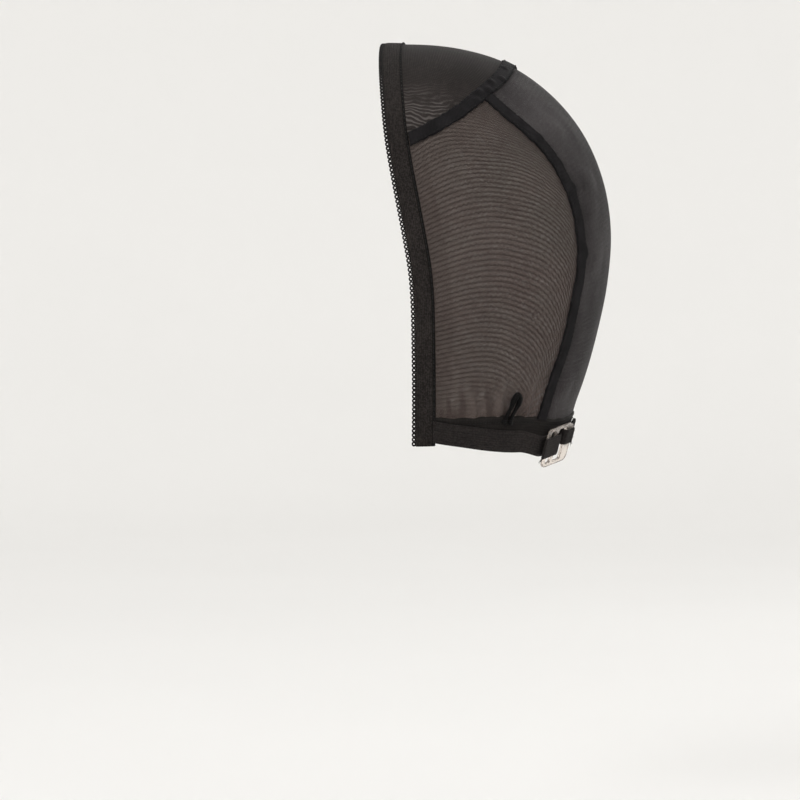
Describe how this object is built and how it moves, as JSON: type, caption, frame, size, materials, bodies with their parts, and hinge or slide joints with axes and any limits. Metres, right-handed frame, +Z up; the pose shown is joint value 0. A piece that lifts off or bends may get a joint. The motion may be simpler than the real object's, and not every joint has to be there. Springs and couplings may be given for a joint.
{
  "type": "wig cap",
  "caption": "Stretch wig cap of sheer knitted mesh with an elastic front band, taped seams, nape band, side loops and adjustable straps joined by a clear slide",
  "frame": {"origin": "top of the head inside the crown, on the centre line, where the cap rests on the head", "axes": "+Z up, front of the cap towards -Y, the wearer's left towards +X"},
  "size_m": [0.1552, 0.1074, 0.1972],
  "materials": {
    "sheer_mesh": "sheer knitted nylon mesh, very dark brown",
    "dense_mesh": "doubled knitted nylon, near black",
    "elastic": "ribbed woven elastic, black",
    "satin_tape": "narrow seam tape, blue-black",
    "cord": "round elastic cord, black",
    "clear_plastic": "clear, slightly yellowed moulded plastic"
  },
  "bodies": {
    "root": {"crown_panel": "dense_mesh", "side_panel_left": "sheer_mesh", "side_panel_right": "sheer_mesh", "back_panel": "sheer_mesh", "front_band": "elastic", "nape_band": "dense_mesh", "crown_tape": "satin_tape", "back_tape_left": "satin_tape", "back_tape_right": "satin_tape", "strap_left": "elastic", "strap_right": "elastic", "strap_loop_left": "cord", "strap_loop_right": "cord", "strap_slide": "clear_plastic"}
  },
  "joints": []
}
